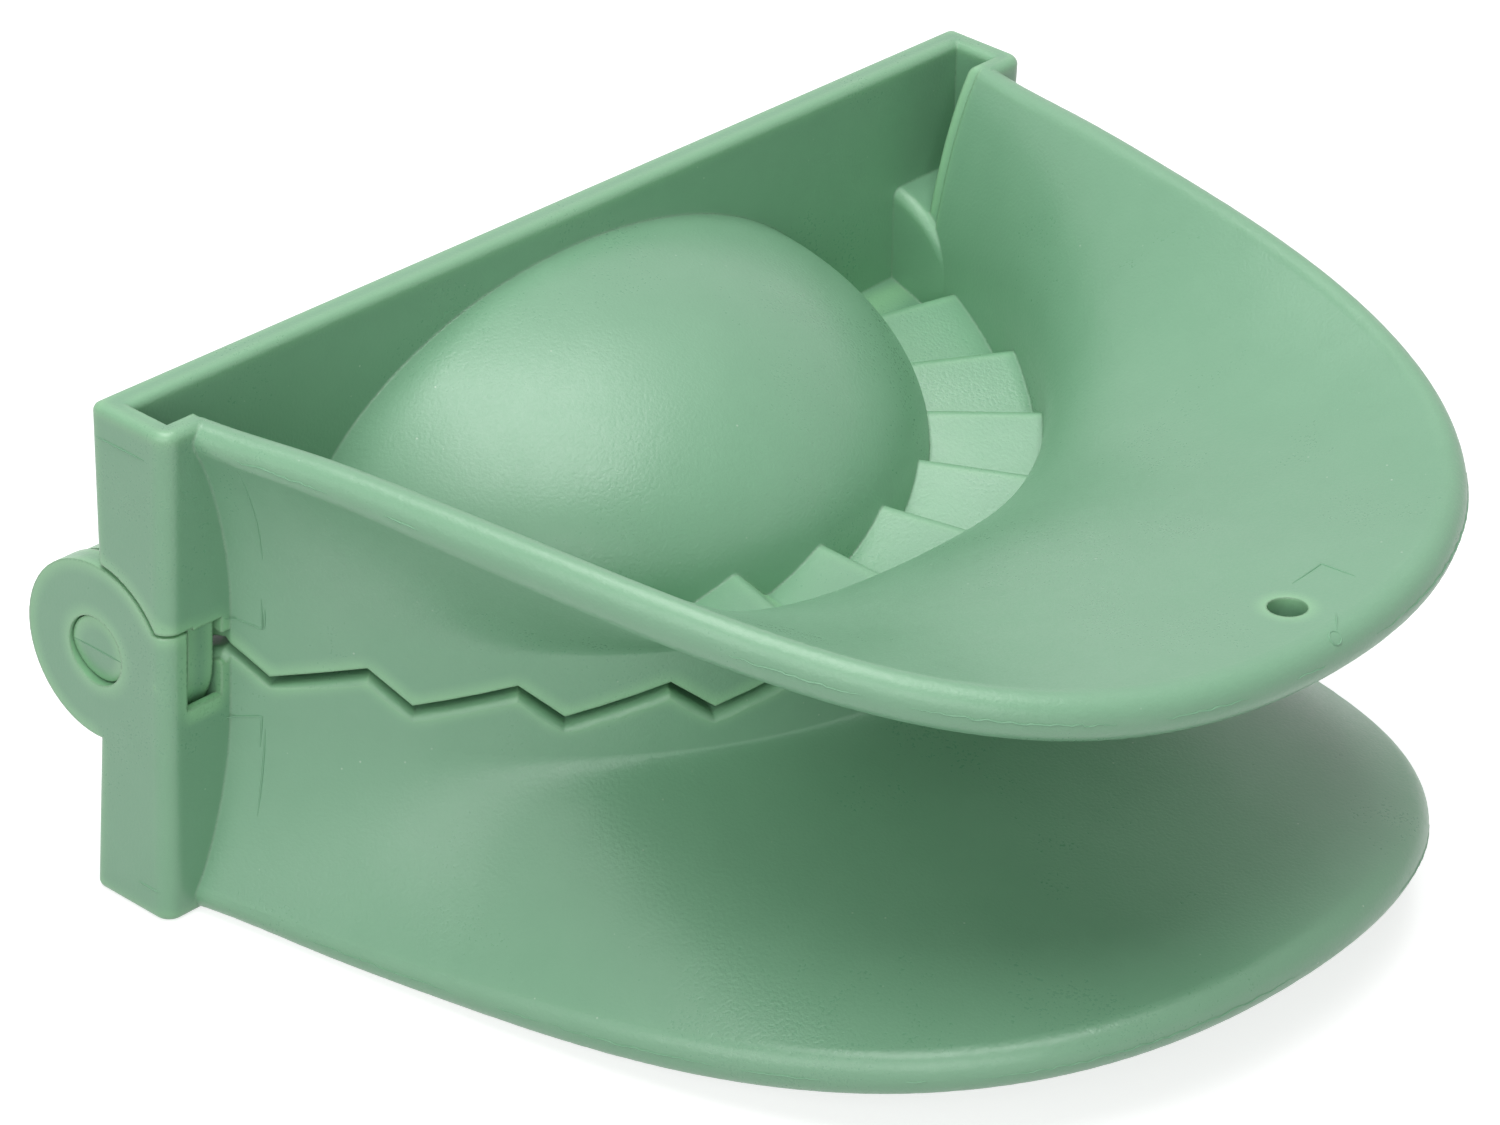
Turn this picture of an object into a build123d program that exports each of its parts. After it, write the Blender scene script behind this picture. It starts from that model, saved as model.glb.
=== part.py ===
from build123d import *
import os
from math import sin, cos, tan, radians, degrees, atan2, hypot

os.makedirs("parts", exist_ok=True)

# An empanada press: two moulded halves that close like a clam shell.
# Working frame: millimetres, +Z up, the bowl's centre at the origin, the mouth
# towards -Y.  The hinge axis lies along X just in front of the origin.  Each half
# is modelled above the parting plane z = 0, and the lower one is turned over.

# ---- Back channel: back wall, end walls and the short return walls in front ----
half_height = 24.0          # parting plane to the flat back rim
shoulder = 7.6              # from the skirt's foot to the outside of the end wall
channel_front = 9.2         # bowl's centre to the outer face of the return walls
back_setback = 0.8          # bowl's centre to the back wall's outer face, at the parting
back_draft = 2.2            # degrees, the back wall leans out towards its rim
back_wall = 2.8
end_wall = 2.4
return_wall = 2.3
front_corner_radius = 1.6   # upright outer corners
back_corner_radius = 0.9
rim_radius = 0.8

# ---- Skirt: the curved wall that flares out into the lip ----
foot_radius = 48.1          # outer face of the skirt's foot, round the bowl's centre
foot_arc = 66.0             # degrees either side of the nose; beyond, the outer face is straight
skirt_wall = 2.4            # thicker towards the hinge, because the inner face stays round
foot_height = 5.0           # upright foot of the skirt
lip_overhang = 42.1         # from the foot to the tip of the nose
lip_end_overhang = 3.3      # from the foot to the lip's centre line, at its end
lip_end_y = 7.0             # the centre line ends in the return wall
lip_splay = 12.9            # degrees, the lip still widens this much at its end
nose_handle = 46.0          # handles of the centre line's curve
end_handle = 38.7
lip_level = 14.3            # the lip is level this far in front of the bowl's centre
lip_bend_radius = 402.0     # beyond, it bends towards the other half
lip_end_radius = 1.4        # half the lip's thickness beside the hinge
lip_nose_radius = 2.2
flare_end = 33.0            # degrees from upright at the lip, beside the hinge
flare_nose = 88.0
curve_pull = 0.55           # handle length of the flare's curve
skirt_stations = 17

# ---- Crimping teeth: a saw-tooth ring round the bowl ----
tooth_count = 12
tooth_pitch = 15.5          # degrees
steep_share = 0.31          # share of a tooth's pitch taken by its steep side
tooth_rise = 2.94           # valley to crest
tooth_rounding = 0.8        # ridges and valleys of the toothed plate
parting_gap = 0.95          # between the two halves, for the dough's edge
parting_rounding = 0.9      # outer edge of the lower half's teeth
sharp_edge = 0.15           # the same edge on the upper half
rounding_margin = 0.05      # the rounding runs out this far beyond the skirt
parting_steps = 3           # straight steps along a tooth's long side
crimp_plate = 1.6           # thickness of the toothed plate

# ---- Bowl ----
crimp_width = 10.2          # toothed plate, from the bowl to the skirt's inner face
bowl_height = 20.6
bowl_wall = 2.4

# ---- Hinge: ears on the lower half, lugs with snap-in pins on the upper half ----
hinge_lead = 0.3            # hinge axis in front of the bowl's centre
ear_radius = 8.4
lug_radius = 8.2
lug_thickness = 2.9
lug_outer_gap = 0.7         # lug to the ear's inner face
lug_inner_gap = 0.4
pin_radius = 3.1
pin_clearance = 0.15
pin_recess = 0.3            # pin's end below the ear's outer face
pin_ramp = 9.0              # degrees, the lead-in on half of the pin's end
swing_gap = 0.5             # round the ears and the lugs
housing_radius = 11.8
housing_width = 8.7         # from the end wall inwards
housing_front = 7.4         # hinge axis to the housing's front face
housing_root = 1.8          # width of the part that runs on into the skirt
housing_rounding = 1.1
post_top = 4.5              # the lower half's corner posts stand above the parting
post_gap = 0.3
window_floor = 3.2          # window for the lug in the lower return wall, below the parting
relief_top = 2.95           # the upper return wall ends here, beside the last tooth
relief_offset = 0.2         # the relief begins this far outside the foot

# ---- Hang hole in the upper lip ----
hang_hole_radius = 1.7
hang_hole_inset = 6.3       # from the tip of the nose to the hole's centre

# ---- Cuts ----
overcut = 1.0               # a cut starts this far outside what it cuts
beyond = 200.0              # longer than anything here

# ---- Sizes that follow ----
half_gap = parting_gap / 2
hinge_y = -hinge_lead
half_width = foot_radius + shoulder
wall_inside = half_width - end_wall
lip_reach = foot_radius + lip_overhang
lip_end_x = foot_radius + lip_end_overhang
foot_inside = foot_radius - skirt_wall
bowl_radius = foot_inside - crimp_width
wave_inside = bowl_radius - 2 * bowl_wall
channel_inside = channel_front - return_wall
back_lean = tan(radians(back_draft))
skirt_trim = channel_front - return_wall / 2
crimp_sector = tooth_pitch * tooth_count
half_steep = steep_share * tooth_pitch / 2
wave_back = back_setback + back_wall + parting_gap
hole_radius = pin_radius + pin_clearance
lug_outer = wall_inside - lug_outer_gap
lug_inner = lug_outer - lug_thickness
window_inner = lug_inner - lug_inner_gap
relief_inner = foot_radius + relief_offset
housing_inside = wall_inside - housing_width
hang_hole_y = -(lip_reach - hang_hole_inset)
cut_front = -channel_front - overcut
cut_side = half_width + overcut
SIDES = (-1, 1)


def block(x0, x1, y0, y1, z0, z1):
    """A box between two corners."""
    return Pos((x0 + x1) / 2, (y0 + y1) / 2, (z0 + z1) / 2) * Box(x1 - x0, y1 - y0, z1 - z0)


def side_block(side, x0, x1, y0, y1, z0, z1):
    """A box whose x range is counted outwards on one side."""
    return block(min(side * x0, side * x1), max(side * x0, side * x1), y0, y1, z0, z1)


def side_disc(side, radius, x0, x1):
    """A disc round the hinge axis, its x range counted outwards on one side."""
    place = Pos(side * (x0 + x1) / 2, hinge_y, 0)
    return place * Rot(0, 90, 0) * Cylinder(radius, x1 - x0)


def back_face_y(z, depth=0.0):
    """The back wall's outer face at a height, or a face that deep inside it."""
    return -back_setback - depth + z * back_lean


def closed_wire(pieces):
    """One closed wire from lines and curves given in order."""
    return Wire([edge for piece in pieces for edge in piece.edges()])


# ---- Back channel ----

def back_prism(front_y, depth, z0, z1, half_length):
    """A bar along X whose back face leans with the back wall."""
    outline = Polyline(
        (front_y, z0),
        (front_y, z1),
        (back_face_y(z1, depth), z1),
        (back_face_y(z0, depth), z0),
        close=True,
    )
    section = Plane.YZ * make_face(outline)
    return Pos(-half_length, 0, 0) * extrude(section, 2 * half_length, dir=(1, 0, 0))


def return_opening():
    """The space between the return walls, as wide as the skirt and its round lip inside."""
    end = LipStation(1)
    turn = sin(radians(end.angle))
    face = [(x * turn, z) for x, z in end.face_curve(-1)]
    top = -degrees(end.lean)
    round_points = end.lip_point(top / 2 - 45), end.lip_point(top)
    shoulder_bend, crown = [(x * turn, z) for x, z in round_points]
    outline = []
    for side in SIDES:
        foot, low, high, inner, bend, peak = [
            (side * x, z) for x, z in (*face, shoulder_bend, crown)
        ]
        outline += [
            Line((0, -beyond), (foot[0], -beyond)),
            Line((foot[0], -beyond), foot),
            Bezier(foot, low, high, inner),
            ThreePointArc(inner, bend, peak),
            Line(peak, (peak[0], beyond)),
            Line((peak[0], beyond), (0, beyond)),
        ]
    section = Plane.XZ * make_face(closed_wire(outline))
    depth = channel_front + return_wall
    return Pos(0, -wave_back, 0) * extrude(section, depth, dir=(0, -1, 0))


def back_channel():
    """Back wall, end walls and return walls in one, open towards the bowl."""
    outside = back_prism(-channel_front, 0, -post_top, half_height, half_width)
    upright = outside.edges().filter_by(is_upright).sort_by(Axis.Y)
    outside = fillet(upright[:2], front_corner_radius)
    upright = outside.edges().filter_by(is_upright).sort_by(Axis.Y)
    outside = fillet(upright[-2:], back_corner_radius)
    inside = back_prism(-channel_inside, back_wall, -beyond, beyond, wall_inside)
    channel = outside - inside
    rim = channel.faces().sort_by(Axis.Z)[-1]
    channel = fillet(rim.edges(), rim_radius)
    return channel - return_opening()


def is_upright(edge):
    """True for an edge that runs mostly along Z."""
    return abs((edge @ 1 - edge @ 0).Z) > half_height / 2


# ---- Skirt and lip ----

def lip_line():
    """Centre line of the lip in plan, from the nose to the right-hand return wall."""
    nose_y = lip_nose_radius - lip_reach
    splay = radians(lip_splay)
    before_end = (lip_end_x - end_handle * sin(splay), -lip_end_y - end_handle * cos(splay))
    return Bezier((0, nose_y), (nose_handle, nose_y), before_end, (lip_end_x, -lip_end_y))


class LipStation:
    """One upright section of the skirt: 0 is the nose, 1 and -1 are the lip's ends."""

    def __init__(self, place):
        line = lip_line()
        centre = line @ abs(place)
        along = line % abs(place)
        self.angle = degrees(atan2(centre.X, -centre.Y)) * (1 if place > 0 else -1)
        self.distance = hypot(centre.X, centre.Y)
        front = cos(radians(self.angle))
        self.radius = lip_end_radius + (lip_nose_radius - lip_end_radius) * front
        bend = max(0.0, -centre.Y - lip_level)
        self.height = half_height - self.radius - bend ** 2 / (2 * lip_bend_radius)
        self.lean = radians(flare_end + (flare_nose - flare_end) * front ** 3)
        self.stretch = self.distance / (centre.X * along.Y - centre.Y * along.X)

    def lip_point(self, turn):
        """A point of the lip's round edge; turn 0 is its tip, -90 inside, 90 outside."""
        around = self.lean + radians(turn)
        x = self.distance + self.radius * sin(around) * self.stretch
        return x, self.height + self.radius * cos(around)

    def face_curve(self, side):
        """Bezier points of one face, from its foot to the lip; side is -1 inside, 1 outside."""
        foot = foot_distance(self.angle) if side > 0 else foot_inside
        x, z = self.lip_point(90 * side)
        across, up = sin(self.lean) * self.stretch, cos(self.lean)
        run = (x - foot) / across
        corner = z - run * up
        low = (foot, foot_height + curve_pull * (corner - foot_height))
        high = (x - curve_pull * run * across, z - curve_pull * run * up)
        return (foot, foot_height), low, high, (x, z)

    def section(self):
        """Closed outline of the skirt and its rounded lip."""
        inside = self.face_curve(-1)
        outside = self.face_curve(1)
        base_in = (inside[0][0], -tooth_rise)
        base_out = (outside[0][0], -tooth_rise)
        outline = [
            Line(base_in, inside[0]),
            Bezier(*inside),
            ThreePointArc(inside[-1], self.lip_point(0), outside[-1]),
            Bezier(*reversed(outside)),
            Line(outside[0], base_out),
            Line(base_out, base_in),
        ]
        return radial_plane(self.angle) * closed_wire(outline)


def foot_distance(angle):
    """The foot's outer face: an arc round the bowl's centre, straight at its ends."""
    straight = max(0.0, abs(angle) - foot_arc)
    return foot_radius / cos(radians(straight))


def radial_plane(angle):
    """The upright plane through the bowl's centre, with X outwards and Y up."""
    a = radians(angle)
    return Plane(origin=(0, 0, 0), x_dir=(sin(a), -cos(a), 0), z_dir=(-cos(a), -sin(a), 0))


def skirt():
    last = skirt_stations - 1
    sections = [LipStation(2 * i / last - 1).section() for i in range(skirt_stations)]
    return Solid.make_loft(sections) - block(-beyond, beyond, -skirt_trim, beyond, -beyond, beyond)


# ---- Crimping teeth ----

def tooth_stations(side_steps):
    """Angles and heights along the teeth; each long side is made in that many steps."""
    stations = [(-crimp_sector / 2, 0.0)]
    long_side = tooth_pitch - 2 * half_steep
    for k in range(tooth_count):
        start = -crimp_sector / 2 + k * tooth_pitch + half_steep
        for step in range(side_steps + 1):
            share = step / side_steps
            stations.append((start + share * long_side, (share - 0.5) * tooth_rise))
    stations.append((crimp_sector / 2, 0.0))
    return stations


def wave_ring(outline, side_steps):
    """A ring sector whose section follows the teeth: outline(angle, height) gives its lines."""
    sections = [
        radial_plane(angle) * closed_wire(outline(angle, height))
        for angle, height in tooth_stations(side_steps)
    ]
    return Solid.make_loft(sections, ruled=True)


def parting_cutter(hand, rounding):
    """Everything below this half's toothed parting face, its outer edge rounded."""
    eighth = rounding * (1 - cos(radians(45)))

    def outline(angle, height):
        z = hand * height + half_gap
        edge = foot_distance(angle) + rounding_margin
        start = (edge - rounding, z)
        end = (edge, z + rounding)
        far = ((beyond, end[1]), (beyond, -half_height), (wave_inside, -half_height))
        return [
            Line((wave_inside, z), start),
            ThreePointArc(start, (edge - eighth, z + eighth), end),
            Polyline(end, *far, (wave_inside, z)),
        ]

    wave = wave_ring(outline, parting_steps)
    wave = wave - block(-beyond, beyond, -wave_back, beyond, -beyond, beyond)
    flat = block(-beyond, beyond, -wave_back - parting_gap, beyond, -half_height, half_gap)
    return wave, flat


def crimp_ring(hand):
    """The toothed plate between the bowl and the skirt; the parting cut trims its lower face."""
    inner = bowl_radius - bowl_wall
    outer = foot_radius - skirt_wall / 2

    def outline(angle, height):
        low = hand * height
        high = low + half_gap + crimp_plate
        return [Polyline((inner, low), (outer, low), (outer, high), (inner, high), close=True)]

    ring = wave_ring(outline, 1)
    ridges = {edge for face in ring.faces() for edge in face.edges() if is_ridge(face, edge)}
    return fillet(ridges, tooth_rounding) & in_front_of_back_wall(back_wall / 2)


def is_ridge(face, edge):
    """True for a crest or a valley of the upper face, in front of the back wall."""
    return face.normal_at().Z > 0 and edge.center().Y < -wave_back and is_radial(edge)


def is_radial(edge):
    """True for an edge that runs straight away from the bowl's centre."""
    ends = edge @ 0, edge @ 1
    return abs(hypot(ends[1].X, ends[1].Y) - hypot(ends[0].X, ends[0].Y)) > crimp_width


# ---- Bowl ----

def half_ellipsoid(radius, height):
    """A dome turned about the upright axis through the bowl's centre."""
    arc = EllipticalCenterArc((0, 0), radius, height, arc_size=90)
    outline = closed_wire(
        [arc, Polyline((0, height), (0, -tooth_rise), (radius, -tooth_rise), (radius, 0))]
    )
    return revolve(Plane.XZ * make_face(outline), Axis.Z)


def in_front_of_back_wall(depth):
    """The space in front of a face that deep inside the back wall."""
    return back_prism(-beyond, depth, -half_height, half_height, half_width)


def bowl():
    return half_ellipsoid(bowl_radius, bowl_height) & in_front_of_back_wall(back_wall / 2)


def bowl_cavity():
    inside = half_ellipsoid(bowl_radius - bowl_wall, bowl_height - bowl_wall)
    return inside & in_front_of_back_wall(back_wall)


# ---- Hinge ----

def housing(side):
    """Stiff block inside the channel's end that carries the hinge and runs into the skirt."""
    drum = side_disc(side, housing_radius, housing_inside, wall_inside)
    inboard = drum.faces().sort_by(Axis.X)[0 if side > 0 else -1]
    drum = fillet(inboard.edges(), housing_rounding)
    in_wall = -back_setback - back_wall / 2
    root_end = housing_inside + housing_root
    root = side_block(side, 0, root_end, -housing_radius, in_wall, -post_top, half_height)
    reach = block(-beyond, beyond, -housing_front, in_wall, -post_top, half_height)
    return drum & (reach + root)


def ear(side):
    """Outer hinge plate of the lower half; the corner post takes over at the front."""
    front = front_corner_radius - channel_front
    plate = side_disc(side, ear_radius, wall_inside, half_width)
    return plate & block(-beyond, beyond, front, beyond, -beyond, beyond)


def lug(side):
    """Inner hinge plate of the upper half, on a root that joins the return wall."""
    plate = side_disc(side, lug_radius, lug_inner, lug_outer)
    front = hinge_y - lug_radius
    root = side_block(side, lug_inner, lug_outer, front, -wave_back, 0, lug_radius)
    return plate + root + pin(side)


def pin(side):
    """Snap-in stub pin; half of its end is a ramp that spreads the ear."""
    end = half_width - pin_recess
    stub = side_disc(side, pin_radius, lug_outer, end)
    ramp = Polyline(
        (side * end, 0),
        (side * (end - beyond * tan(radians(pin_ramp))), -beyond),
        (side * (end + beyond), -beyond),
        (side * (end + beyond), 0),
        close=True,
    )
    wedge = extrude(Plane.XZ * make_face(ramp), pin_radius * 2, both=True)
    return stub - wedge


def moulded_half(hand, skirt_solid, edge_rounding):
    """What the two halves share; hand is 1 or -1 for the teeth's phase."""
    wave, flat = parting_cutter(hand, edge_rounding)
    body = back_channel() + skirt_solid + bowl() + crimp_ring(hand)
    for side in SIDES:
        body += housing(side)
    return body - bowl_cavity(), wave, flat


def upper_half(skirt_solid):
    body, wave, flat = moulded_half(1, skirt_solid, sharp_edge)
    body -= wave
    body -= flat
    for side in SIDES:
        body -= side_disc(side, ear_radius + swing_gap, lug_outer, beyond)
        body -= side_block(
            side, lug_outer, cut_side, cut_front, 0, -half_height, post_top + post_gap
        )
        body -= side_block(
            side, window_inner, wall_inside, cut_front, -channel_inside, -half_height, post_top
        )
        body -= side_block(
            side, relief_inner, wall_inside, cut_front, -channel_inside, -half_height, relief_top
        )
        body += lug(side)
    hole = Pos(0, hang_hole_y, half_height) * Cylinder(hang_hole_radius, 2 * half_height)
    return body - hole


def lower_half(skirt_solid):
    """Modelled upside down like the upper half, then turned over."""
    body, wave, flat = moulded_half(-1, skirt_solid, parting_rounding)
    for side in SIDES:
        post = side_block(
            side, wall_inside, cut_side, cut_front, -wave_back, -half_height, half_gap
        )
        wave -= post
        flat -= post
    body -= wave
    body -= flat
    for side in SIDES:
        body += ear(side)
        body -= side_disc(side, lug_radius + swing_gap, window_inner, wall_inside)
        body -= side_block(
            side, window_inner, wall_inside, cut_front, -wave_back, -half_height, window_floor
        )
        body -= side_disc(side, hole_radius, wall_inside - overcut, cut_side)
    return mirror(body, Plane.XY)


def save(shape, name):
    """Put the origin on the ground under the middle of the closed press."""
    middle = (hinge_y + ear_radius - lip_reach) / 2
    placed = Pos(0, -middle, half_height) * shape
    placed.label = name
    export_step(placed, f"parts/{name}.step")
    return placed


flared_skirt = skirt()
upper = save(upper_half(flared_skirt), "upper_half")
lower = save(lower_half(flared_skirt), "lower_half")
for solid in (upper, lower):
    box = solid.bounding_box()
    print(solid.label, len(solid.solids()), round(solid.volume), solid.is_valid, box.min, box.max)
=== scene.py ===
# %% [markdown] An empanada press in sage-green plastic: two moulded halves that
# close like a clam shell on a disc of dough. The exact solids come from CAD, so
# this script only has to dress them: camera, light, plastic, and the fine lines
# that the mould leaves.

# %% Load the frame
import bpy
from math import cos, pi, radians, sin
from mathutils import Matrix, Vector
from mathutils.geometry import interpolate_bezier


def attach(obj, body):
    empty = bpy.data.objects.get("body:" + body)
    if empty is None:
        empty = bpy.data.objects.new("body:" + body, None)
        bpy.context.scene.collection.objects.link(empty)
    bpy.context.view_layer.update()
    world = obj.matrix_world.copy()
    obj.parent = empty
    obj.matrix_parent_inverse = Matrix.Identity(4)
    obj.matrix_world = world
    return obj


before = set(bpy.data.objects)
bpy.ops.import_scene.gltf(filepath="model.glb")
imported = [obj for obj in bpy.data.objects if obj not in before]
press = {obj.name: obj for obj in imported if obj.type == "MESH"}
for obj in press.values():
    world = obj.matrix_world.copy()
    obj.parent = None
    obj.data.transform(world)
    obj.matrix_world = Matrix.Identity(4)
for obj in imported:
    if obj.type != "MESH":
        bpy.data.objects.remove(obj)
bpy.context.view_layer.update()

# %% [markdown]
# The camera looks down at about 29 degrees from the front left, through a long
# lens, so that the lips hardly taper.  It could be aimed with a Track To
# constraint, but three plain angles say the same and stay readable: the swing
# round the press, the pitch down to it, and a small roll.

# %% Camera
camera_place = Vector((-0.33862, -0.27470, 0.27477))
camera_swing = -0.865  # radians, as the next two
camera_pitch = 0.509
camera_roll = 0.051
camera_lens = 137.45
camera_shift = (-0.0104, -0.0305)
nearest_seen = 0.01


def camera_turn(swing, pitch, roll):
    """The camera's own axes, as the columns of a rotation matrix."""
    back = Vector((sin(swing) * cos(pitch), -cos(swing) * cos(pitch), sin(pitch)))
    level = Vector((cos(swing), sin(swing), 0))
    upright = back.cross(level)
    right = cos(roll) * level + sin(roll) * upright
    up = cos(roll) * upright - sin(roll) * level
    return Matrix((right, up, back)).transposed().to_4x4()


def make_camera():
    """A long lens whose picture is shifted a little, as the framing needs."""
    data = bpy.data.cameras.new("camera")
    data.lens = camera_lens
    data.shift_x, data.shift_y = camera_shift
    data.clip_start = nearest_seen
    camera = bpy.data.objects.new("camera", data)
    camera.matrix_world = Matrix.Translation(camera_place) @ camera_turn(
        camera_swing, camera_pitch, camera_roll
    )
    bpy.context.scene.collection.objects.link(camera)
    bpy.context.scene.camera = camera
    return camera


print("camera at", make_camera().matrix_world.translation)

# %% [markdown]
# Materials, geometry and the sky are all node trees here, and a tree is only
# readable in a script if each node takes one line.  So one small class adds a
# node, sets its sockets and returns its output, and the trees below share it.

# %% Node helpers


class Tree:
    """A node tree, and short helpers that fill it."""

    prefix = "ShaderNode"

    def __init__(self, tree):
        self.tree = tree

    def set(self, socket, value):
        """Join a socket to an output, or give it a plain value."""
        if isinstance(value, bpy.types.NodeSocket):
            self.tree.links.new(value, socket)
        else:
            socket.default_value = value

    def node(self, kind, fields=(), **inputs):
        """One node's first output; inputs are in lower case with underscores."""
        node = self.tree.nodes.new(self.prefix + kind)
        for field, value in dict(fields).items():
            setattr(node, field, value)
        for name, value in inputs.items():
            self.set(node.inputs[name.replace("_", " ").title()], value)
        return node.outputs[0]

    def math(self, operation, *values):
        """Arithmetic, which is the same node in every kind of tree."""
        node = self.tree.nodes.new("ShaderNodeMath")
        node.operation = operation
        for socket, value in zip(node.inputs, values):
            self.set(socket, value)
        return node.outputs[0]


class Finish(Tree):
    """A material, its Principled shader, and what materials need besides."""

    def __init__(self, name):
        self.material = bpy.data.materials.new(name)
        self.material.use_nodes = True
        super().__init__(self.material.node_tree)
        self.surface = self.tree.nodes["Principled BSDF"]
        self.place = self.tree.nodes.new("ShaderNodeTexCoord").outputs["Object"]

    def remap(self, value, low, high, to_low=0.0, to_high=1.0):
        """Stretch a range of one value over another, and clamp it."""
        return self.node(
            "MapRange",
            value=value,
            from_min=low,
            from_max=high,
            to_min=to_low,
            to_max=to_high,
        )

    def blend(self, share, first, second):
        """Mix two colours."""
        node = self.tree.nodes.new("ShaderNodeMix")
        node.data_type = "RGBA"
        self.set(node.inputs[0], share)
        self.set(node.inputs[6], first)
        self.set(node.inputs[7], second)
        return node.outputs[2]

    def noise(self, size, detail):
        """Noise whose blotches are about this many millimetres across."""
        return self.node("TexNoise", vector=self.place, scale=1000.0 / size, detail=detail)


print("helpers:", [name for name in vars(Finish) if not name.startswith("_")])

# %% [markdown]
# The plastic is one even sage green with a spark-eroded, satin skin.  A flat
# colour with one roughness would look like wax, because real polypropylene is
# never quite even.  Close up the pigment drifts a little, the skin is grained at
# about a third of a millimetre, and a few pale specks of dust lie on it.  Each of
# these is one small function that gives a mask or a colour.

# %% Pigment, specks and grain
plastic_light = (0.221, 0.440, 0.280, 1)
plastic_dark = (0.198, 0.411, 0.256, 1)
# Pale green on ridges: partly real wear, partly a painted highlight of lamp light on edges.
rubbed_highlight_green = (0.315, 0.515, 0.330, 1)
# Painted glow: the paler, yellower green where light would shine through thin rims.
thin_glow_green = (0.320, 0.620, 0.352, 1)
dust_pale = (0.42, 0.58, 0.46, 1)

# Sizes in millimetres.
drift_size = 26
cloud_size = 4
speck_cell = 2
dusty_patch = 17
pit_size = 0.32
peel_size = 2.4


def pigment(finish):
    """Slow drift of the colour over the moulding."""
    drift = finish.remap(finish.noise(drift_size, 3), 0.35, 0.65, 0.0, 0.6)
    cloud = finish.remap(finish.noise(cloud_size, 4), 0.3, 0.7, 0.0, 0.4)
    return finish.blend(finish.math("ADD", drift, cloud), plastic_dark, plastic_light)


def dust(finish):
    """Sparse specks, a tenth of a millimetre across, in some places more than others."""
    cells = finish.node("TexVoronoi", vector=finish.place, scale=1000.0 / speck_cell)
    speck = finish.remap(cells, 0.06, 0.03)
    patches = finish.remap(finish.noise(dusty_patch, 2), 0.5, 0.6)
    return finish.math("MULTIPLY", speck, patches)


def grain(finish):
    """The spark-eroded skin: fine pits, and a coarser orange peel below them."""
    pits = finish.remap(finish.noise(pit_size, 3), 0.0, 1.0, 0.0, 0.8)
    peel = finish.remap(finish.noise(peel_size, 2), 0.0, 1.0, 0.0, 0.2)
    return finish.math("ADD", pits, peel)


print("skin: pits", pit_size, "mm, orange peel", peel_size, "mm, drift", drift_size, "mm")

# %% [markdown]
# No moulded edge is a knife edge.  The solids leave their finest edges sharp, and
# a tiny fillet on each would cost thousands of faces.  A Bevel node rounds the
# shading instead: it looks at the surface within a radius and gives the normal
# that a rounded edge would have.  Where that normal leaves the true one there is
# an edge.  So the same node also says where hands have rubbed the plastic, and
# where ridges get a painted highlight: a paler green standing in for lamp light
# on the edges.
#
# Polypropylene lets a little light through, and most where it is thin, so rims
# and rounded corners look paler and yellower than the walls.  Subsurface light
# would be slow and noisy for so small an effect, so that glow is painted into the
# colour instead.  An Ambient Occlusion node that looks inwards finds the same
# places: near a rim its rays soon meet another side.

# %% Soft edges, wear with a painted highlight, and a painted glow on thin rims
edge_radius = 0.0004
edge_samples = 4
thin_depth = 0.0015
rub_size = 3.0  # millimetres


def edge_wear_and_highlight(finish, soft):
    """1 on ridges that are rubbed and get a painted highlight, 0 on flat skin, broken up by
    noise.
    """
    true = finish.tree.nodes.new("ShaderNodeNewGeometry").outputs["Normal"]
    turn = finish.tree.nodes.new("ShaderNodeVectorMath")
    turn.operation = "DOT_PRODUCT"
    finish.set(turn.inputs[0], soft)
    finish.set(turn.inputs[1], true)
    ridge = finish.remap(turn.outputs["Value"], 0.995, 0.90)
    rubbed = finish.remap(finish.noise(rub_size, 4), 0.35, 0.6, 0.3, 1.0)
    return finish.math("MULTIPLY", ridge, rubbed)


def thin_edges(finish):
    """1 where the wall runs out, on rims and rounded corners, where a glow is painted."""
    inner = finish.tree.nodes.new("ShaderNodeAmbientOcclusion")
    inner.inside = True
    inner.only_local = True
    inner.samples = edge_samples
    inner.inputs["Distance"].default_value = thin_depth
    return finish.remap(inner.outputs["AO"], 0.92, 0.6)


print("edges softened by", 1000 * edge_radius, "mm, rims paler within", 1000 * thin_depth, "mm")

# %% [markdown]
# Now the masks come together on one Principled shader.  The colour goes from
# pigment to the painted glow of thin rims, then to rubbed ridges with their
# painted highlight, then to dust.
# Roughness follows the grain, with smudges from fingers and a polish where the
# plastic is rubbed.  The same grain drives the Bump node, over the softened
# normal.  The beads of the witness lines are finer than the grain, so they have
# the pigment alone.

# %% Plastic
thin_glow_share = 0.9
rubbed_highlight_share = 0.4
rubbed_polish = 0.08
smudge_size = 14  # millimetres
grain_height = 0.00007
grain_strength = 0.55
plastic_ior = 1.49
plastic_gloss = 0.7
bead_roughness = 0.4


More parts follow.
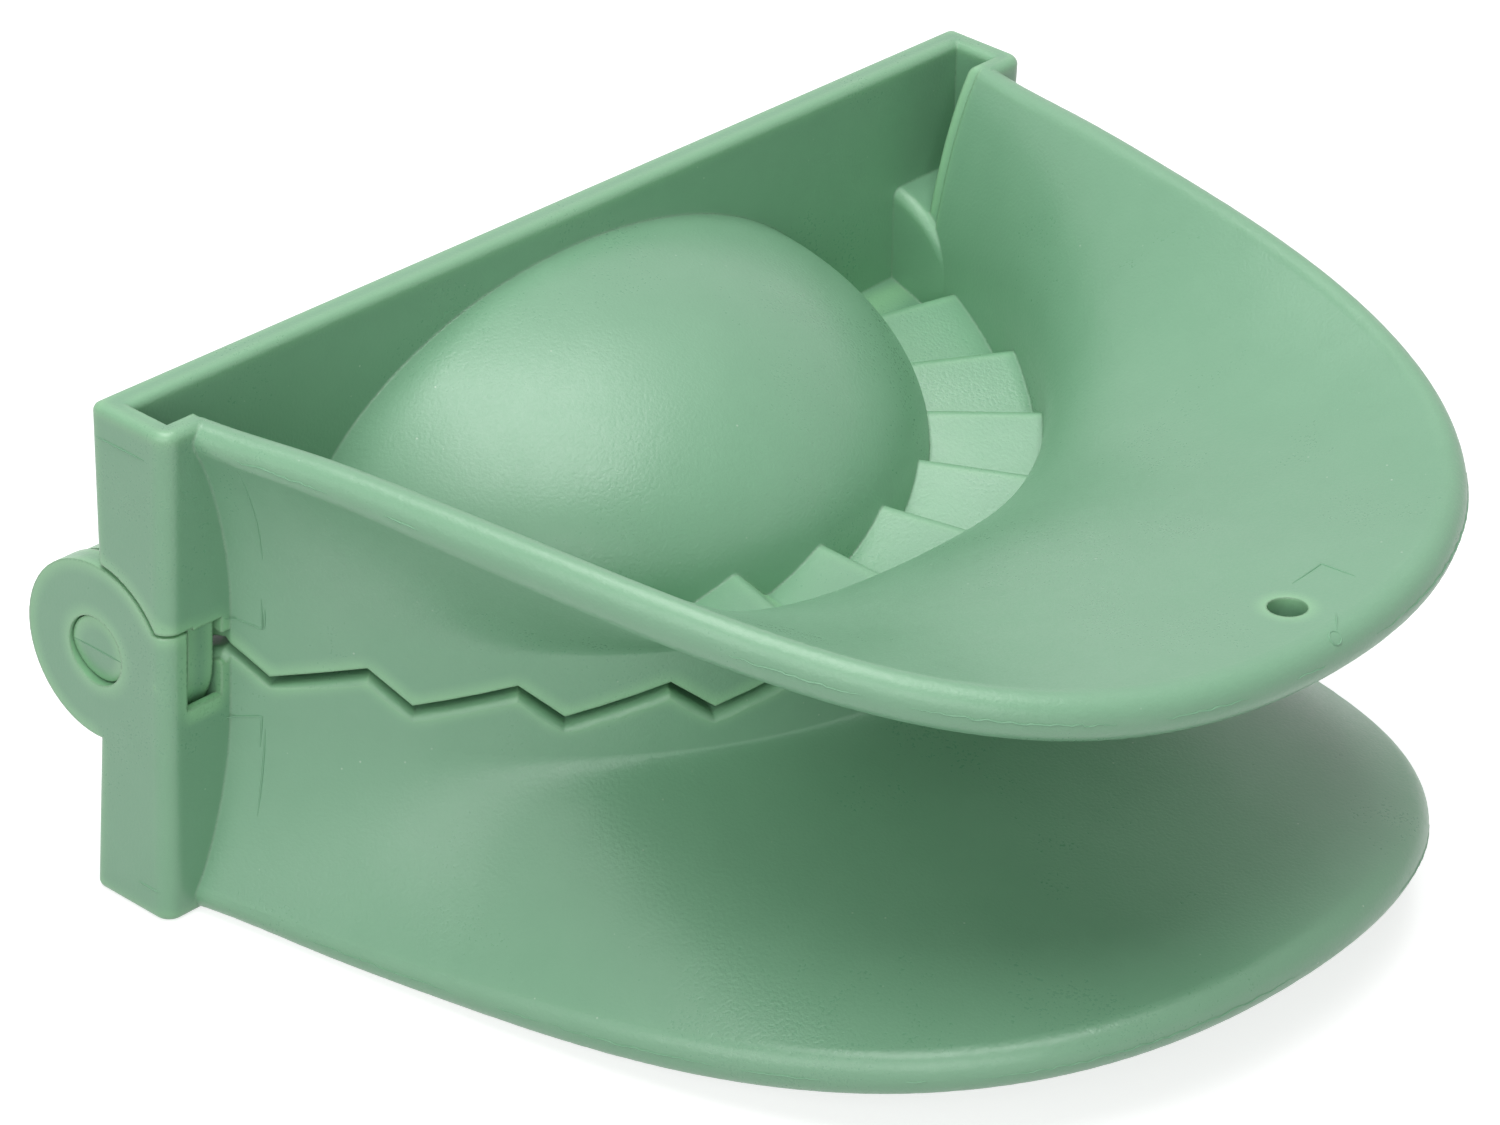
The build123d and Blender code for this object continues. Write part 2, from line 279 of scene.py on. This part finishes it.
def plastic(name):
    """The whole skin on one Principled shader."""
    finish = Finish(name)
    soft = finish.node("Bevel", radius=edge_radius, fields={"samples": edge_samples})
    skin = grain(finish)
    wear_and_highlight = edge_wear_and_highlight(finish, soft)
    # Painted glow of light through thin rims and corners.
    thin = finish.math("MULTIPLY", thin_edges(finish), thin_glow_share)
    colour = finish.blend(thin, pigment(finish), thin_glow_green)
    # Rubbed ridges: real wear and a painted highlight in one colour.
    colour = finish.blend(finish.math("MULTIPLY", wear_and_highlight, rubbed_highlight_share), colour, rubbed_highlight_green)
    colour = finish.blend(dust(finish), colour, dust_pale)
    finish.set(finish.surface.inputs["Base Color"], colour)
    smudge = finish.remap(finish.noise(smudge_size, 3), 0.35, 0.7, -0.04, 0.05)
    rough = finish.remap(skin, 0.35, 0.65, 0.29, 0.40)
    polish = finish.math("MULTIPLY", wear_and_highlight, rubbed_polish)
    rough = finish.math("SUBTRACT", finish.math("ADD", rough, smudge), polish)
    finish.set(finish.surface.inputs["Roughness"], rough)
    bump = finish.node(
        "Bump", strength=grain_strength, distance=grain_height, height=skin, normal=soft
    )
    finish.set(finish.surface.inputs["Normal"], bump)
    finish.surface.inputs["IOR"].default_value = plastic_ior
    finish.surface.inputs["Specular IOR Level"].default_value = plastic_gloss
    return finish.material


def bead_plastic(name):
    """The same pigment, with one roughness."""
    finish = Finish(name)
    finish.set(finish.surface.inputs["Base Color"], pigment(finish))
    finish.surface.inputs["Roughness"].default_value = bead_roughness
    finish.surface.inputs["IOR"].default_value = plastic_ior
    return finish.material


sage_plastic = plastic("sage_plastic")
sage_bead = bead_plastic("sage_bead")
for half in press.values():
    half.data.materials.clear()
    half.data.materials.append(sage_plastic)
    print(half.name, "wears", sage_plastic.name, "on", len(half.data.polygons), "faces")

# %% [markdown]
# Where two parts of a mould meet, the plastic creeps a few hundredths of a
# millimetre into the joint and leaves a witness line.  This press has them round
# the lips, beside the hinge where side cores closed, on the nose and round the
# gate.  Each is a thin bead that follows the skin, runs for a while and sinks
# away again.  Geometry Nodes suit it: a rough guide is snapped to the solid, cut
# up by noise, and given a round section.  First come helpers for such a tree.
# Its named inputs are set later by their sockets' identifiers, so ask() keeps them.

# %% Tree helpers


class Steps(Tree):
    """A geometry node tree with named inputs."""

    prefix = "GeometryNode"

    def __init__(self, name):
        super().__init__(bpy.data.node_groups.new(name, "GeometryNodeTree"))
        self.keys = {}
        self.entry = self.tree.nodes.new("NodeGroupInput")
        self.exit = self.tree.nodes.new("NodeGroupOutput")

    def ask(self, name, kind):
        """A named input, and the socket that brings it in."""
        socket = self.tree.interface.new_socket(
            name, in_out="INPUT", socket_type="NodeSocket" + kind
        )
        self.keys[name] = socket.identifier
        return self.entry.outputs[name]

    def answer(self, geometry):
        """What the tree gives back."""
        self.tree.interface.new_socket(
            "Geometry", in_out="OUTPUT", socket_type="NodeSocketGeometry"
        )
        self.tree.links.new(geometry, self.exit.inputs["Geometry"])

    def noise(self, size, seed):
        """Noise at each point; the seed moves it along a fourth axis."""
        node = self.tree.nodes.new("ShaderNodeTexNoise")
        node.noise_dimensions = "4D"
        node.inputs["Detail"].default_value = 0.0
        self.set(node.inputs["W"], seed)
        self.set(node.inputs["Scale"], self.math("DIVIDE", 1.0, size))
        return node.outputs[0]


print("a Steps tree keeps its sockets' identifiers in keys")

# %% [markdown]
# The tree's steps: turn the guide's edges into curves, resample them finely, move
# each point to the nearest point of the solid, drop the stretches where the
# noise is low, thin the ends of what is left, and sweep a small circle along it.
# The bead's centre lies in the skin, so half of it stands proud.  A point whose
# attribute "held" is 1 is kept whatever the noise says.

# %% Witness-line tree
bead_sides = 6
end_sharpness = 0.4
thinnest_end = 0.3


def witness_tree():
    """From a guide of loose edges to beads on the skin of a solid."""
    steps = Steps("witness_lines")
    guide = steps.ask("Guide", "Geometry")
    solid = steps.ask("Solid", "Object")
    width = steps.ask("Width", "Float")
    spacing = steps.ask("Spacing", "Float")
    run = steps.ask("Run", "Float")
    gaps = steps.ask("Gaps", "Float")
    seed = steps.ask("Seed", "Float")
    finish = steps.ask("Material", "Material")

    line = steps.node("MeshToCurve", mesh=guide)
    line = steps.node("ResampleCurve", {"mode": "LENGTH"}, curve=line, length=spacing)
    skin = steps.tree.nodes.new("GeometryNodeObjectInfo")
    steps.set(skin.inputs["Object"], solid)
    nearest = steps.node(
        "Proximity", {"target_element": "FACES"}, geometry=skin.outputs["Geometry"]
    )
    line = steps.node("SetPosition", geometry=line, position=nearest)

    wire = steps.node("CurveToMesh", curve=line)
    held = steps.node("InputNamedAttribute", {"data_type": "FLOAT"}, name="held")
    strength = steps.math("ADD", steps.noise(run, seed), held)
    low = steps.math("LESS_THAN", strength, gaps)
    wire = steps.node("DeleteGeometry", {"domain": "POINT"}, geometry=wire, selection=low)
    line = steps.node("MeshToCurve", mesh=wire)

    along = steps.node("SplineParameter")
    swell = steps.math("SINE", steps.math("MULTIPLY", along, pi))
    swell = steps.math("MAXIMUM", steps.math("POWER", swell, end_sharpness), thinnest_end)
    radius = steps.math("DIVIDE", width, 2.0)
    circle = steps.node("CurvePrimitiveCircle", resolution=bead_sides, radius=radius)
    bead = steps.node(
        "CurveToMesh", curve=line, profile_curve=circle, scale=swell, fill_caps=True
    )
    bead = steps.node("SetShadeSmooth", geometry=bead)
    bead = steps.node("RealizeInstances", geometry=bead)
    steps.answer(steps.node("SetMaterial", geometry=bead, material=finish))
    return steps


witness_lines = witness_tree()
print("witness tree asks for:", list(witness_lines.keys))

# %% [markdown]
# The guides are only rough, because the tree snaps them to the solid.  They are
# written in millimetres, as a mould drawing would be, for the upper half and the
# left or right side, and turned over for the lower half.  The long lines come and
# go.  The short ones, at corners, pins, nose and gate, are held all the way.

# %% Guides
closed_height = 48.0
parting = closed_height / 2
lip_nose = Vector((0, -47.0))
lip_nose_handle = Vector((46.0, -47.0))
lip_end_handle = Vector((42.8, -3.7))
lip_end = Vector((51.4, 34.0))
lip_level_y = 26.8
lip_bend_radius = 402.0
lip_outside = 4.0
lip_line_drop = 1.8
lip_points = 60
insert_crease_y = 31.8
insert_corner_y = 29.2
insert_crease_x = 49.0
insert_upper_x = 47.3
insert_reach = [47.1, 47.5, 48.6, 51.0]
insert_shares = [0.4, 0.7, 1.0]
insert_lean = 0.06
upper_insert_edge = 3.5
lower_insert_edge = 5.1
wall_line_x = 55.7
wall_line_z = 45.0
wall_line_ends = (32.8, 40.4)
nose_line_z = 41
nose_insert_start = 3.6
nose_insert_half = 8.0
nose_insert_back = -40.3
nose_insert_front = -43.9
gate_place = Vector((-0.7, -48.3, 40.7))
gate_radius = 0.65
gate_lean = (0.8, 0.6)
gate_degrees = 15
scratch_start = Vector((0.7, 0.4, 0.3))
scratch_end = Vector((2.6, 1.9, 0.5))
pin_centre_y = 40.75
pin_end_x = 55.4
pin_crease_reach = 2.95
pin_crease_drop = 0.05


def lip_guide(side):
    """The parting line round one side of the lip, a little outside it."""
    corners = [lip_nose, lip_nose_handle, lip_end_handle, lip_end]
    plan = interpolate_bezier(*corners, lip_points)
    path = []
    for here, after in zip(plan, plan[1:]):
        along = (after - here).normalized()
        out = here + lip_outside * Vector((along.y, -along.x))
        if out.y > insert_corner_y:
            break
        sag = max(0.0, lip_level_y - here.y) ** 2 / (2 * lip_bend_radius)
        path.append(Vector((side * out.x, out.y, closed_height - lip_line_drop - sag)))
    return path


def insert_guide(side, edge):
    """The side core's edge: up the skirt from its corner to the lip."""
    rise = wall_line_z - parting
    heights = [edge] + [share * rise for share in insert_shares]
    return [
        Vector((side * x, insert_corner_y - insert_lean * z, parting + z))
        for x, z in zip(insert_reach, heights)
    ]


def insert_corner(side, edge):
    """The same edge's corner: in from the crease, and a little way up."""
    path = [
        (insert_crease_x, insert_crease_y, 0.7),
        (insert_reach[0], insert_corner_y, 0.0),
        (insert_upper_x, insert_corner_y, 3.0),
    ]
    return [Vector((side * x, y, parting + edge + z)) for x, y, z in path]


def wall_guide(side):
    """The line under the rim of the end wall."""
    return [Vector((side * wall_line_x, y, wall_line_z)) for y in wall_line_ends]


def nose_guides():
    """The insert beside the hang hole, the gate's ring, and a scratch from it."""
    corner = Vector((nose_insert_half, nose_insert_back, nose_line_z))
    start = Vector((nose_insert_start, nose_insert_back - 0.3, nose_line_z))
    front = Vector((nose_insert_half, nose_insert_front, nose_line_z))
    ring = []
    for degrees in range(0, 361, gate_degrees):
        across = gate_radius * cos(radians(degrees))
        along = gate_radius * sin(radians(degrees))
        ring.append(gate_place + Vector((across, gate_lean[0] * along, gate_lean[1] * along)))
    scratch = [gate_place + scratch_start, gate_place + scratch_end]
    return [[start, corner, front], ring, scratch]


def half_guides(edge):
    """The lines of both halves that come and go."""
    paths = [lip_guide(side) for side in (-1, 1)]
    paths += [insert_guide(side, edge) for side in (-1, 1)]
    return paths + [wall_guide(side) for side in (-1, 1)]


def half_corners(edge):
    """The lines of both halves that never break."""
    return [insert_corner(side, edge) for side in (-1, 1)]


def pin_guide(side):
    """The crease across a pin's end, where its lead-in ramp starts."""
    steps = (-pin_crease_reach, 0, pin_crease_reach)
    height = parting - pin_crease_drop
    return [Vector((side * pin_end_x, pin_centre_y + step, height)) for step in steps]


def turn_over(paths):
    """The same lines on the lower half."""
    return [[Vector((x, y, closed_height - z)) for x, y, z in path] for path in paths]


pin_creases = [pin_guide(side) for side in (-1, 1)]
upper_held = half_corners(upper_insert_edge) + nose_guides() + pin_creases
upper_guides = half_guides(upper_insert_edge), upper_held
lower_held = turn_over(half_corners(lower_insert_edge))
lower_guides = turn_over(half_guides(lower_insert_edge)), lower_held
print("guides that break:", len(upper_guides[0]), "upper,", len(lower_guides[0]), "lower")
print("guides that hold:", len(upper_guides[1]), "upper,", len(lower_guides[1]), "lower")

# %% [markdown]
# A host mesh of loose edges carries the tree as a modifier.  Its evaluated result
# becomes a plain mesh of its own, and the host goes, so each half gets one piece
# that rides on it.

# %% Witness lines
line_width = 0.00021
line_spacing = 0.0004
line_run = 0.006
line_gaps = 0.46
upper_seed = 3.0
lower_seed = 8.0


def guide_host(name, broken, whole):
    """Loose edges through the guide points, in metres; whole lines are held."""
    points, edges, held = [], [], []
    for path in broken + whole:
        first = len(points)
        points += [point / 1000 for point in path]
        edges += [(k, k + 1) for k in range(first, len(points) - 1)]
        held += [float(path in whole)] * len(path)
    mesh = bpy.data.meshes.new(name)
    mesh.from_pydata(points, edges, [])
    mesh.attributes.new("held", "FLOAT", "POINT").data.foreach_set("value", held)
    host = bpy.data.objects.new(name, mesh)
    bpy.context.scene.collection.objects.link(host)
    return host


def make_witness_lines(name, guides, solid, body, seed):
    """One piece with every line of a half, riding on its body."""
    host = guide_host(name + "_guide", *guides)
    modifier = host.modifiers.new("lines", "NODES")
    modifier.node_group = witness_lines.tree
    values = {
        "Solid": solid,
        "Width": line_width,
        "Spacing": line_spacing,
        "Run": line_run,
        "Gaps": line_gaps,
        "Seed": seed,
        "Material": sage_bead,
    }
    for key, value in values.items():
        modifier[witness_lines.keys[key]] = value
    evaluated = host.evaluated_get(bpy.context.evaluated_depsgraph_get())
    mesh = bpy.data.meshes.new_from_object(evaluated)
    mesh.name = name
    bpy.data.objects.remove(host)
    piece = bpy.data.objects.new(name, mesh)
    bpy.context.scene.collection.objects.link(piece)
    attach(piece, body)
    return piece


for half, guides, seed in (
    ("upper", upper_guides, upper_seed),
    ("lower", lower_guides, lower_seed),
):
    lines = make_witness_lines(half + "_witness_lines", guides, press[half + "_half"], half, seed)
    print(lines.name, len(lines.data.polygons), "faces in", lines.data.materials[:])

# %% [markdown]
# The studio: a pale floor that runs out of sight, a wide soft lamp overhead, and
# two weaker ones at the left and the front left.  Floor and sky look white because
# they glow, but only for the eye and for reflections.  For the press's diffuse
# light the floor is plain grey and the sky is dim, so the shadows stay.

# %% Studio
floor_reach = 3.0
floor_grey = 0.55
floor_glow = 0.75
sky_light = 0.12
lamps = [
    # name, place, aim, size, watts
    ("overhead", (-0.06, 0.05, 1.01), (0, 0, 0), (0.95, 0.72), 8.4),
    ("left", (-0.91, 0, 0.44), (0, 0, 0.02), (0.6, 0.6), 2.0),
    ("front_left", (-0.69, -0.58, 0.44), (0, 0, 0.02), (0.6, 0.6), 2.4),
]


def seen(tree):
    """1 for rays from the eye and those that mirror or refract, 0 for light."""
    ray = tree.tree.nodes.new("ShaderNodeLightPath").outputs
    bent = tree.math("MAXIMUM", ray["Is Glossy Ray"], ray["Is Transmission Ray"])
    return tree.math("MAXIMUM", ray["Is Camera Ray"], bent)


def make_floor():
    """A dull grey plane that glows for the eye."""
    mesh = bpy.data.meshes.new("floor")
    r = floor_reach
    mesh.from_pydata([(-r, -r, 0), (r, -r, 0), (r, r, 0), (-r, r, 0)], [], [(0, 1, 2, 3)])
    floor = bpy.data.objects.new("floor", mesh)
    bpy.context.scene.collection.objects.link(floor)
    paint = bpy.data.materials.new("floor_paint")
    paint.use_nodes = True
    surface = paint.node_tree.nodes["Principled BSDF"].inputs
    surface["Base Color"].default_value = (floor_grey, floor_grey, floor_grey, 1)
    surface["Roughness"].default_value = 0.9
    surface["Specular IOR Level"].default_value = 0.1
    surface["Emission Color"].default_value = (1, 1, 1, 1)
    tree = Tree(paint.node_tree)
    tree.set(surface["Emission Strength"], tree.math("MULTIPLY", seen(tree), floor_glow))
    mesh.materials.append(paint)
    return floor


def make_sky():
    """White for the eye and for reflections, far weaker as a lamp."""
    world = bpy.data.worlds.new("studio")
    world.use_nodes = True
    background = world.node_tree.nodes["Background"].inputs
    background["Color"].default_value = (1, 1, 1, 1)
    tree = Tree(world.node_tree)
    strength = tree.node("MapRange", value=seen(tree), to_min=sky_light, to_max=1.0)
    tree.set(background["Strength"], strength)
    bpy.context.scene.world = world


def make_lamp(name, place, aim, size, power):
    """A rectangular area lamp that looks at a point."""
    data = bpy.data.lights.new(name, "AREA")
    data.shape = "RECTANGLE"
    data.size, data.size_y = size
    data.energy = power
    lamp = bpy.data.objects.new(name, data)
    lamp.location = place
    lamp.rotation_euler = (Vector(aim) - Vector(place)).to_track_quat("-Z", "Y").to_euler()
    bpy.context.scene.collection.objects.link(lamp)
    return lamp


make_floor()
make_sky()
for lamp in lamps:
    make_lamp(*lamp)
bpy.context.scene.view_settings.view_transform = "Standard"

# %% [markdown]
# The witness lines stand a tenth of a millimetre proud of the skin, so the
# press's box hardly grows.
